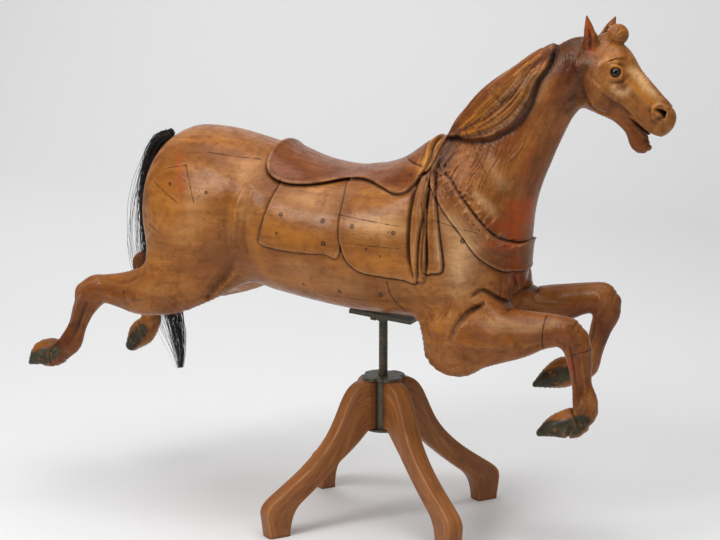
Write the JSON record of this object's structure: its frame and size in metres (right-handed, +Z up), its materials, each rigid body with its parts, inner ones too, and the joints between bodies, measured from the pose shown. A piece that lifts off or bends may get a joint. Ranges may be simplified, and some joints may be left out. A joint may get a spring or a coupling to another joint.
{
  "type": "carousel horse",
  "caption": "Leaping carved wooden carousel horse with saddle, blanket and breast collar, fixed on a screw spindle in a four-legged wooden stand",
  "frame": {"origin": "middle of the part's outline on the floor, under its overall box", "axes": "+X towards the horse's nose, +Y to the horse's left, +Z up"},
  "size_m": [1.2577, 0.425, 0.9745],
  "materials": {
    "carved_wood": "aged honey to red-brown stain under worn semi-gloss varnish",
    "stand_wood": "oak brown satin varnish with worn edges",
    "iron": "dark bare iron with a dull grey-green tarnish",
    "rusty_iron": "rusted iron",
    "eye_glass": "dark brown polished glass eye, opaque",
    "horsehair": "black horsehair"
  },
  "bodies": {
    "stand": {"hub": "iron", "leg_right_rear": "stand_wood", "leg_right_front": "stand_wood", "leg_left_front": "stand_wood", "leg_left_rear": "stand_wood"},
    "screw": {"spindle": "iron"},
    "horse_body": {"horse": "carved_wood", "eye_right": "eye_glass", "eye_left": "eye_glass", "tail": "horsehair", "belly_bar": "iron", "belly_bolt": "rusty_iron"}
  },
  "joints": [
    {"name": "screw_rise", "type": "slide", "parent": "stand", "child": "screw", "axis": [0, 0, 1], "range_m": [-0.034, 0.024]},
    {"name": "horse_turn", "type": "hinge", "parent": "screw", "child": "horse_body", "pos_m": [0.078, 0, 0.386], "axis": [0, 0, 1], "range_deg": [-2340, 1440]}
  ],
  "couplings": [
    {"joint": "screw_rise", "follows": "horse_turn", "m_per_rad": 0.00079577}
  ]
}
